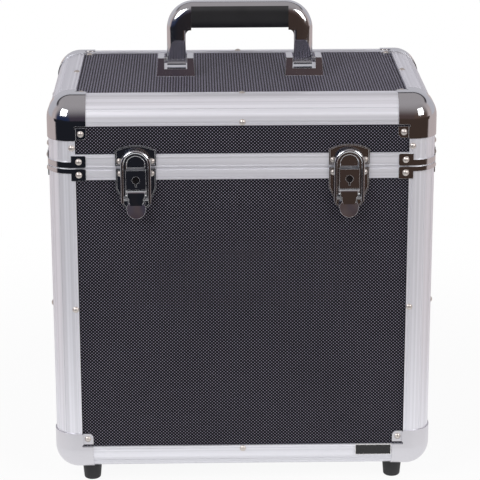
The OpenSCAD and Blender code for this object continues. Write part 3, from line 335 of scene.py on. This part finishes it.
@dataclass(frozen=True)
class DottedLaminate(Finish):
    """Black laminate with a staggered lattice of small light grey dots."""

    title: str = "dotted_laminate"
    colour: Colour = (0.005, 0.0045, 0.007)
    rough: float = 0.45
    rough_play: Span = (0.0, 0.12)
    dot_colour: Colour = (0.275, 0.265, 0.33)
    dot_rim: Span = (0.40, 0.80)
    dot_rough: float = 0.12
    pitch: Span = (3.3 * MM, 3.1 * MM)
    plane: Plane = Plane.FRONT
    cloud_scale: float = 14.0
    cloud_shade: Span = (0.85, 1.1)
    grain_scale: float = 900.0
    grain_height: float = 0.15
    relief: float = 0.05 * MM
    specular: float = 0.1

    def sockets(self, graph: Graph) -> dict[str, Any]:
        """Dots that lie on the crests of two crossed waves.

        Args:
            graph: The material's node tree.

        Returns:
            The values and links of the shader's sockets.
        """
        place = graph.place()
        axes = graph.axes(place)
        across, up = (axes[name] for name in self.plane.value)
        wave_across = (across * (math.tau / self.pitch[0])).cos()
        wave_up = (up * (math.tau / self.pitch[1])).cos()
        dot = (wave_across * wave_up).ramp(*self.dot_rim)
        cloud = graph.noise(place, self.cloud_scale)
        grain = graph.noise(place, self.grain_scale)
        lit = dot * cloud.spread(*self.cloud_shade)
        return {
            "Base Color": graph.blend(lit, self.colour, self.dot_colour),
            "Roughness": dot * self.dot_rough + self.roughness(grain),
            "Specular IOR Level": self.specular,
            "Normal": graph.bump(dot + grain * self.grain_height, self.relief),
        }


@dataclass(frozen=True)
class SatinAluminium(Finish):
    """Drawn and anodised aluminium, with fine lines along the section, and broader bands along it
    that are painted highlight ridges.
    """

    title: str = "satin_aluminium"
    colour: Colour = (0.91, 0.915, 0.97)
    rough: float = 0.42
    rough_play: Span = (-0.07, 0.05)
    metallic: float = 0.5
    run: Run = Run.UPRIGHT
    half_depth: float = 0.117
    middle_y: float = 0.0
    corner_reach: float = 26.5 * MM
    line_scale: float = 900.0
    along_scale: float = 3.0
    line_share: float = 0.35
    # Scale and step of the painted highlight ridges.
    ridge_highlight_scale: float = 0.33
    ridge_highlight_rim: Span = (0.38, 0.62)
    dark_share: float = 0.80
    relief: float = 0.05 * MM
    soft: float = 0.35 * MM

    def sockets(self, graph: Graph) -> dict[str, Any]:
        """Lines across which the finish changes fast and along which it hardly does.

        Args:
            graph: The material's node tree.

        Returns:
            The values and links of the shader's sockets.
        """
        point = self.stretched(graph, graph.axes(graph.place()))
        lines = graph.noise(point, 1.0, detail=1.0)
        # The broader bands are painted highlight ridges in the colour; the fine lines are the
        # drawn grain.
        painted_ridge_highlights = graph.noise(point, self.ridge_highlight_scale, detail=1.0).ramp(*self.ridge_highlight_rim)
        # Lightness of the colour: the real fine lines mixed with the painted highlight bands.
        light = lines * self.line_share + painted_ridge_highlights * (1.0 - self.line_share)
        return {
            "Base Color": graph.blend(light, self.shaded(self.dark_share), self.colour),
            "Metallic": self.metallic,
            "Roughness": self.roughness(lines),
            "Normal": graph.bump(lines, self.relief, graph.soft_edge(self.soft)),
        }

    def stretched(self, graph: Graph, axes: dict[str, Signal]) -> bpy.types.NodeSocket:
        """The point at which the noise is read, so that it draws lines along the section.

        Args:
            graph: The material's node tree.
            axes: The parts of the point on the surface.

        Returns:
            The stretched point. On a section that runs around the case, the lines turn
            with it between the front or rear and the sides.
        """
        fine, slow = self.line_scale, self.along_scale
        if self.run is Run.UPRIGHT:
            return graph.vector(axes["X"] * fine, axes["Y"] * fine, axes["Z"] * slow)
        at_front = abs(axes["Y"] - self.middle_y) > self.half_depth - self.corner_reach
        along_x = at_front * slow + (1.0 - at_front) * fine
        along_y = at_front * fine + (1.0 - at_front) * slow
        return graph.vector(axes["X"] * along_x, axes["Y"] * along_y, axes["Z"] * fine)


@dataclass(frozen=True)
class ChromePlate(Finish):
    """Bright chrome on pressed steel, very slightly wavy, with fine wipe marks."""

    title: str = "chrome_plate"
    colour: Colour = (0.78, 0.79, 0.81)
    rough: float = 0.06
    rough_play: Span = (-0.03, 0.03)
    # Width of the painted edge highlight; none where 0.
    edge: float = 0.0
    edge_highlight_dulling: float = 0.45
    edge_rough: float = 0.3
    wave: float = 0.10 * MM
    wave_scale: float = 55.0
    mark_scale: float = 420.0
    mark_rough: float = 0.05
    smear_scale: float = 24.0
    smear_share: float = 0.94

    def sockets(self, graph: Graph) -> dict[str, Any]:
        """A wavy mirror with faint marks, and, where it has an edge width, a painted edge
        highlight: less metallic and rougher there, so the edges show pale.

        Args:
            graph: The material's node tree.

        Returns:
            The values and links of the shader's sockets.
        """
        place = graph.place()
        waves = graph.noise(place, self.wave_scale, detail=1.0)
        marks = graph.noise(place, self.mark_scale, detail=4.0)
        smear = graph.noise(place, self.smear_scale, detail=3.0)
        # Painted edge highlight: near an edge the chrome turns less metallic and rougher, so the
        # edge shows as a pale line.
        edge_highlight_mask = graph.edge(self.edge) if self.edge else 0.0
        # Roughness from the real wipe marks and from the painted edge highlight.
        marks_and_edge_highlight = marks * self.mark_rough + edge_highlight_mask * self.edge_rough
        return {
            "Base Color": graph.blend(smear, self.shaded(self.smear_share), self.colour),
            "Metallic": 1.0 - edge_highlight_mask * self.edge_highlight_dulling,
            "Roughness": marks_and_edge_highlight + self.roughness(smear),
            "Normal": graph.bump(waves, self.wave),
        }


@dataclass(frozen=True)
class BrightSteel(Finish):
    """Plain steel of pins and screws, with fine turning marks."""

    title: str = "bright_steel"
    colour: Colour = (0.60, 0.61, 0.63)
    rough: float = 0.26
    rough_play: Span = (-0.06, 0.1)
    metallic: float = 1.0
    grain_scale: float = 1600.0
    dark_share: float = 0.85
    relief: float = 0.01 * MM
    soft: float = 0.2 * MM

    def sockets(self, graph: Graph) -> dict[str, Any]:
        """Fine grain in the finish and in its colour.

        Args:
            graph: The material's node tree.

        Returns:
            The values and links of the shader's sockets.
        """
        grain = graph.noise(graph.place(), self.grain_scale, detail=3.0)
        return {
            "Base Color": graph.blend(grain, self.shaded(self.dark_share), self.colour),
            "Metallic": self.metallic,
            "Roughness": self.roughness(grain),
            "Normal": graph.bump(grain, self.relief, graph.soft_edge(self.soft)),
        }


@dataclass(frozen=True)
class SatinRivet(BrightSteel):
    """The dull, slightly warm plating of a rivet's head."""

    title: str = "satin_rivet"
    colour: Colour = (0.72, 0.67, 0.63)
    rough: float = 0.34
    metallic: float = 0.8


@dataclass(frozen=True)
class MouldedBlack(Finish):
    """Black moulded rubber or plastic with a fine eroded grain."""

    title: str = "moulded_black"
    colour: Colour = (0.022, 0.022, 0.024)
    rough: float = 0.5
    rough_play: Span = (-0.07, 0.09)
    grain_height: float = 0.05 * MM
    grain_scale: float = 1400.0
    cloud_scale: float = 40.0
    # How far the painted highlight on the grain's crests lightens the colour, and how strongly it
    # covers them.
    crest_highlight_share: float = 1.9
    crest_highlight_lift: float = 0.006
    crest_highlight_cover: float = 1.6
    specular: float = 0.5
    soft: float = 0.5 * MM

    def sockets(self, graph: Graph) -> dict[str, Any]:
        """Grain in relief, with a painted highlight on its crests, stronger in random patches.

        Args:
            graph: The material's node tree.

        Returns:
            The values and links of the shader's sockets.
        """
        place = graph.place()
        grain = graph.noise(place, self.grain_scale, detail=4.0)
        cloud = graph.noise(place, self.cloud_scale, detail=3.0)
        # Painted highlight: the grain's crests are lighter in colour, more so in the random cloud
        # patches.
        crest_highlight = tuple(part + self.crest_highlight_lift for part in self.shaded(self.crest_highlight_share))
        return {
            "Base Color": graph.blend(grain * cloud * self.crest_highlight_cover, self.colour, crest_highlight),
            "Roughness": self.roughness(cloud),
            "Specular IOR Level": self.specular,
            "Normal": graph.bump(grain, self.grain_height, graph.soft_edge(self.soft)),
        }


@dataclass(frozen=True)
class PileLining(Finish):
    """Short black pile, brushed unevenly."""

    title: str = "pile_lining"
    colour: Colour = (0.011, 0.011, 0.013)
    rough: float = 0.95
    fibre_scale: float = 2400.0
    patch_scale: float = 22.0
    patch_height: float = 2.0
    tip_share: float = 3.2
    tip_cover: float = 1.8
    pile: float = 0.35 * MM
    sheen: float = 0.35
    sheen_rough: float = 0.5

    def sockets(self, graph: Graph) -> dict[str, Any]:
        """Fibres as fine noise, over larger patches that catch more light.

        Args:
            graph: The material's node tree.

        Returns:
            The values and links of the shader's sockets.
        """
        place = graph.place()
        fibres = graph.noise(place, self.fibre_scale, detail=3.0)
        patches = graph.noise(place, self.patch_scale, detail=3.0)
        lit = fibres * patches * self.tip_cover
        return {
            "Base Color": graph.blend(lit, self.colour, self.shaded(self.tip_share)),
            "Roughness": self.rough,
            "Sheen Weight": self.sheen,
            "Sheen Roughness": self.sheen_rough,
            "Normal": graph.bump(fibres + patches * self.patch_height, self.pile),
        }


@dataclass(frozen=True)
class BorderedPlate(Finish):
    """A blank black plate with a thin pale line round its edge."""

    title: str = "bordered_plate"
    colour: Colour = (0.008, 0.008, 0.009)
    rough: float = 0.22
    rough_play: Span = (-0.05, 0.15)
    line_colour: Colour = (0.72, 0.72, 0.72)
    low: Span = (0.0, 0.0)
    high: Span = (1.0, 1.0)
    line: float = 0.75 * MM
    scuff_scale: float = 700.0
    relief: float = 0.01 * MM
    soft: float = 0.3 * MM

    def sockets(self, graph: Graph) -> dict[str, Any]:
        """The line covers what lies within its width of the plate's sides and ends.

        Args:
            graph: The material's node tree.

        Returns:
            The values and links of the shader's sockets.
        """
        place = graph.place()
        axes = graph.axes(place)
        border: Operand = 0.0
        for name, low, high in zip("XZ", self.low, self.high):
            middle, half = (low + high) / 2, (high - low) / 2 - self.line
            border = (abs(axes[name] - middle) > half) + border
        scuffs = graph.noise(place, self.scuff_scale, detail=4.0)
        return {
            "Base Color": graph.blend(border, self.colour, self.line_colour),
            "Roughness": self.roughness(scuffs),
            "Normal": graph.bump(scuffs, self.relief, graph.soft_edge(self.soft)),
        }


# ---------- Sub-assemblies ----------


@dataclass
class SubAssembly:
    """Shared work of all sub-assemblies."""

    nodes: dict[str, bpy.types.Object]

    def dress(self, finish: Finish, *names: str) -> None:
        """Gives CAD nodes a finish.

        Args:
            finish: The finish.
            names: The CAD nodes that take it.
        """
        made = finish.material()
        for name in names:
            mesh = self.nodes[name].data
            mesh.materials.clear()
            mesh.materials.append(made)
            LOG.info("%s: %s", name, finish.title)

    def build(self) -> None:
        """Dresses the pieces of this sub-assembly."""
        raise NotImplementedError


@dataclass
class Boards(SubAssembly):
    """The laminated boards of the body and the lid, with the dots on their own faces; the level
    boards carry painted light, a lit copy with lighter dots.
    """

    front: Finish = DottedLaminate("laminate_front")
    side: Finish = DottedLaminate("laminate_side", plane=Plane.SIDE)
    # Painted light: the level boards take a lit copy of the laminate with far lighter dots, for
    # the light that falls on the lid's top; the bottom board takes it too.
    level: Finish = DottedLaminate(
        "laminate_level_lit",
        dot_colour=(0.66, 0.63, 0.80),
        pitch=(5.3 * MM, 2.4 * MM),
        plane=Plane.LEVEL,
    )

    def build(self) -> None:
        """Dresses the boards by the way they face."""
        self.dress(self.front, "front_panel", "rear_panel", "lid_front_panel", "lid_rear_panel")
        self.dress(self.side, "left_panel", "right_panel", "lid_left_panel", "lid_right_panel")
        self.dress(self.level, "bottom_panel", "lid_top_panel")


@dataclass
class Lining(SubAssembly):
    """The soft lining of the body and the lid."""

    pile: Finish = PileLining()

    def build(self) -> None:
        """Dresses both trays."""
        self.dress(self.pile, "body_lining", "lid_lining")


@dataclass
class Framework(SubAssembly):
    """The aluminium rails and rims, and the chrome that holds their corners."""

    upright: Finish = SatinAluminium("aluminium_upright")
    bright_cap: Finish = ChromePlate("cap_chrome", edge=0.5 * MM)
    worn_cap: Finish = ChromePlate("cap_worn", (0.72, 0.71, 0.75), 0.34)
    seam: Finish = ChromePlate(edge=0.5 * MM)
    rivet: Finish = SatinRivet()

    def build(self) -> None:
        """Dresses rails, rims, caps, brackets and rivets."""
        self.dress(self.upright, "body_corner_posts", "lid_corner_posts")
        self.dress(self.around(), "bottom_edge_rails", "top_edge_rails", "body_rim", "lid_rim")
        self.dress(self.bright_cap, "top_corner_caps")
        self.dress(self.worn_cap, "bottom_corner_caps")
        self.dress(self.seam, "body_seam_brackets", "lid_seam_brackets")
        self.dress(self.rivet, "body_rivets", "lid_rivets")

    def around(self) -> SatinAluminium:
        """Fits the aluminium of the sections that run around the case to the rim's box.

        Returns:
            The finish.
        """
        low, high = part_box("body_rim")
        half_depth = (high.y - low.y) / 2
        middle_y = (low.y + high.y) / 2
        return SatinAluminium(
            "aluminium_around", run=Run.AROUND, half_depth=half_depth, middle_y=middle_y
        )


@dataclass
class Latches(SubAssembly):
    """The two draw latches with their locks."""

    plate: Finish = ChromePlate("latch_chrome", edge=0.8 * MM)
    lever: Finish = ChromePlate("lever_chrome", edge=0.8 * MM, wave=0.9 * MM)
    bail: Finish = ChromePlate("bail_chrome", rough=0.12)
    barrel: Finish = ChromePlate("barrel_dark", (0.22, 0.22, 0.22), 0.2)
    pin: Finish = BrightSteel()

    def build(self) -> None:
        """Dresses every piece of both latches."""
        for side in ("left", "right"):
            plates = (f"{side}_keeper", f"{side}_latch_base", f"{side}_lock_housing")
            self.dress(self.plate, *plates)
            self.dress(self.lever, f"{side}_lever")
            self.dress(self.bail, f"{side}_bail")
            self.dress(self.barrel, f"{side}_lock_barrel")
            self.dress(self.pin, f"{side}_lever_pin", f"{side}_bail_pin")


@dataclass
class Hinges(SubAssembly):
    """The two rear hinges."""

    leaf: Finish = ChromePlate("hinge_chrome", rough=0.1)
    pin: Finish = BrightSteel()

    def build(self) -> None:
        """Dresses the leaves and the pins."""
        self.dress(self.leaf, "body_hinge_leaves", "lid_hinge_leaves")
        self.dress(self.pin, "hinge_pins")


@dataclass
class Handle(SubAssembly):
    """The folding handle with its brackets."""

    bow: Finish = ChromePlate("handle_chrome", rough=0.10)
    bracket: Finish = ChromePlate("bracket_chrome", edge=0.5 * MM, wave=0.3 * MM)
    grip: Finish = MouldedBlack(
        "grip_plastic", (0.012, 0.012, 0.013), 0.34, grain_height=0.015 * MM
    )
    pin: Finish = BrightSteel()

    def build(self) -> None:
        """Dresses the handle and what carries it."""
        self.dress(self.bow, "handle_bow")
        self.dress(self.bracket, "left_handle_bracket", "right_handle_bracket")
        self.dress(self.grip, "handle_grip")
        self.dress(self.pin, "handle_core", "handle_pins", "bracket_screws")


@dataclass
class Footing(SubAssembly):
    """The feet with their screws, and the blank plate on the front."""

    rubber: Finish = MouldedBlack("foot_rubber", (0.013, 0.013, 0.014), 0.62)
    screw: Finish = BrightSteel()

    def build(self) -> None:
        """Dresses the feet, the screws and the plate."""
        self.dress(self.rubber, "feet")
        self.dress(self.screw, "foot_screws")
        low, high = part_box("blank_plate")
        plate = BorderedPlate(low=(low.x, low.z), high=(high.x, high.z))
        self.dress(plate, "blank_plate")


# ---------- Studio ----------


@dataclass
class Softbox:
    """A rectangular lamp that looks at a point on the case."""

    title: str
    place: tuple[float, float, float]
    size: Span
    power: float
    aim: tuple[float, float, float] = (0.0, 0.0, 0.2)
    mirrored: bool = True

    def build(self) -> None:
        """Makes the lamp."""
        lamp = bpy.data.lights.new(self.title, "AREA")
        lamp.shape = "RECTANGLE"
        lamp.size, lamp.size_y = self.size
        lamp.energy = self.power
        made = bpy.data.objects.new(self.title, lamp)
        made.location = self.place
        away = Vector(self.place) - Vector(self.aim)
        made.rotation_mode = "QUATERNION"
        made.rotation_quaternion = away.to_track_quat("Z", "Y")
        bpy.context.scene.collection.objects.link(made)
        made.visible_glossy = self.mirrored
        LOG.info("lamp %s", self.title)


@dataclass
class Table:
    """A pale floor that keeps the case's shadow, with a dark front where metal mirrors it.

    The spans are in metres from the middle of the case: where the floor turns to plain
    white, where its sides take their own tone, and where its dark front turns from cool
    to warm. The dark front starts at the place called front, over a soft border.
    """

    matt: Colour = (0.86, 0.86, 0.86)
    half: float = 6.0
    white_share: float = 0.93
    white_span: Span = (0.25, 0.8)
    front: float = -0.42
    front_soft: float = 0.12
    side_span: Span = (0.3, 0.6)
    side_tone: Colour = (0.55, 0.47, 0.46)
    warm_span: Span = (-0.15, 0.2)
    cool: Colour = (0.013, 0.014, 0.019)
    warm: Colour = (0.055, 0.036, 0.029)

    def build(self) -> None:
        """Makes the floor and its material."""
        shape = bmesh.new()
        bmesh.ops.create_grid(shape, x_segments=1, y_segments=1, size=self.half)
        mesh = bpy.data.meshes.new("floor")
        shape.to_mesh(mesh)
        shape.free()
        mesh.materials.append(self.material())
        floor = bpy.data.objects.new("floor", mesh)
        bpy.context.scene.collection.objects.link(floor)

    def material(self) -> bpy.types.Material:
        """Builds the floor's material.

        Returns:
            A material that is pale and matt to the lamps, near white to the camera, and
            toned where metal mirrors it.
        """
        made = bpy.data.materials.new("floor_white")
        graph = Graph.of(made)
        place = graph.place()
        reach = graph.signal("ShaderNodeVectorMath", {"operation": "LENGTH"}, {0: place}, "Value")
        seen = graph.ray("Camera")
        looked_at = seen + graph.ray("Glossy") + graph.ray("Transmission")
        share = looked_at * reach.ramp(*self.white_span).spread(self.white_share, 1.0)
        shine = graph.blend(seen, self.tone(graph, place), WHITE)
        matt = graph.node("ShaderNodeBsdfDiffuse", None, {"Color": (*self.matt, 1.0)})
        white = graph.node("ShaderNodeEmission", None, {"Color": shine})
        parts = {0: share, 1: matt.outputs[0], 2: white.outputs[0]}
        mixed = graph.node("ShaderNodeMixShader", None, parts)
        graph.node("ShaderNodeOutputMaterial", None, {"Surface": mixed.outputs[0]})
        return made

    def tone(self, graph: Graph, place: bpy.types.NodeSocket) -> bpy.types.NodeSocket:
        """The floor's colour as metal mirrors it.

        Args:
            graph: The material's node tree.
            place: The point on the floor.

        Returns:
            The socket of the colour.
        """
        axes = graph.axes(place)
        behind = axes["Y"].ramp(self.front - self.front_soft, self.front + self.front_soft)
        top = graph.blend(abs(axes["X"]).ramp(*self.side_span), WHITE, self.side_tone)
        dark = graph.blend(axes["X"].ramp(*self.warm_span), self.cool, self.warm)
        return graph.blend(behind, dark, top)


@dataclass
class Room:
    """A room that is white to the camera and that metal mirrors in several tones.

    The spans are measured on a direction of length 1 that looks into the room.
    """

    cool: Colour = (0.018, 0.028, 0.070)
    warm: Colour = (0.095, 0.062, 0.052)
    warm_span: Span = (-0.35, 0.25)
    side_tone: Colour = (0.55, 0.47, 0.46)
    side_span: Span = (-0.45, -0.1)
    ceiling: Colour = (0.38, 0.355, 0.365)
    rear_span: Span = (-0.05, 0.35)
    above_span: Span = (0.05, 0.98)
    backdrop: Colour = (0.54, 0.53, 0.57)
    backdrop_span: Span = (0.0, 0.25)
    backdrop_top: Span = (0.60, 0.66)
    border: Colour = (0.05, 0.045, 0.05)
    border_low: Span = (0.57, 0.61)
    border_high: Span = (0.67, 0.74)

    def build(self) -> None:
        """Makes the world, white to the camera and toned to all that it lights."""
        world = bpy.data.worlds.new("studio")
        bpy.context.scene.world = world
        graph = Graph.of(world)
        way = graph.axes(graph.node("ShaderNodeTexCoord").outputs["Generated"])
        colour = graph.blend(graph.ray("Camera"), self.tone(graph, way), WHITE)
        room = graph.node("ShaderNodeBackground", None, {"Color": colour})
        graph.node("ShaderNodeOutputWorld", None, {"Surface": room.outputs[0]})

    def tone(self, graph: Graph, way: dict[str, Signal]) -> bpy.types.NodeSocket:
        """The room's colour, with a dark border along the top of a pale backdrop.

        Args:
            graph: The world's node tree.
            way: The parts of the direction that looks into the room.

        Returns:
            The socket of the colour.
        """
        dark = graph.blend(way["X"].ramp(*self.warm_span), self.cool, self.warm)
        front = graph.blend(way["Y"].ramp(*self.side_span), dark, self.side_tone)
        behind = way["Y"].ramp(*self.backdrop_span)
        low = behind * (1.0 - way["Z"].ramp(*self.backdrop_top))
        pale = graph.blend(low, self.ceiling, self.backdrop)
        rear = way["Y"].ramp(*self.rear_span)
        away = graph.math("MAXIMUM", rear, way["Z"].ramp(*self.above_span))
        border = behind * way["Z"].ramp(*self.border_low)
        border = border * (1.0 - way["Z"].ramp(*self.border_high))
        return graph.blend(border, graph.blend(away, front, pale), self.border)


@dataclass
class Studio:
    """The table, the room and three soft lamps."""

    table: Table
    room: Room
    lamps: tuple[Softbox, ...] = (
        Softbox("key_lamp", (-1.5, -1.9, 1.7), (1.3, 1.3), 36.0),
        Softbox("fill_lamp", (1.7, -2.0, 1.4), (1.1, 1.3), 30.0),
        Softbox("top_lamp", (0.0, 0.3, 2.4), (3.0, 2.6), 7.0, mirrored=False),
    )

    def build(self) -> None:
        """Makes the table, the room and the lamps."""
        self.table.build()
        self.room.build()
        for lamp in self.lamps:
            lamp.build()


@dataclass
class PhotoCamera:
    """The camera that the photograph's edges were fitted with."""

    place: tuple[float, float, float] = (-0.04244, -2.00819, 0.84583)
    yaw: float = 0.0211
    pitch: float = 0.302
    roll: float = -0.002
    focal_pixels: float = 2091.9
    picture: float = 480.0
    sensor: float = 36.0
    clip: Span = (0.05, 100.0)

    def build(self) -> None:
        """Makes the camera and sets it as the scene's."""
        lens = bpy.data.cameras.new("photo_camera")
        lens.sensor_width = self.sensor
        lens.lens = self.sensor * self.focal_pixels / self.picture
        lens.clip_start, lens.clip_end = self.clip
        camera = bpy.data.objects.new("photo_camera", lens)
        forward = Vector(
            (
                math.sin(self.yaw) * math.cos(self.pitch),
                math.cos(self.yaw) * math.cos(self.pitch),
                -math.sin(self.pitch),
            )
        )
        level = Vector((math.cos(self.yaw), -math.sin(self.yaw), 0.0))
        upward = level.cross(forward)
        right = math.cos(self.roll) * level + math.sin(self.roll) * upward
        top = math.cos(self.roll) * upward - math.sin(self.roll) * level
        turn = Matrix((right, top, -forward)).transposed().to_4x4()
        camera.matrix_world = Matrix.Translation(self.place) @ turn
        bpy.context.scene.collection.objects.link(camera)
        bpy.context.scene.camera = camera


def main() -> None:
    logging.basicConfig(level=logging.INFO, format="%(name)s: %(message)s")
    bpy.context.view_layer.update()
    bpy.context.scene.view_settings.view_transform = "Standard"
    PhotoCamera().build()
    nodes = frame["nodes"]
    for assembly in (Boards, Lining, Framework, Latches, Hinges, Handle, Footing):
        assembly(nodes).build()
    Studio(Table(), Room()).build()


if __name__ == "__main__":
    main()
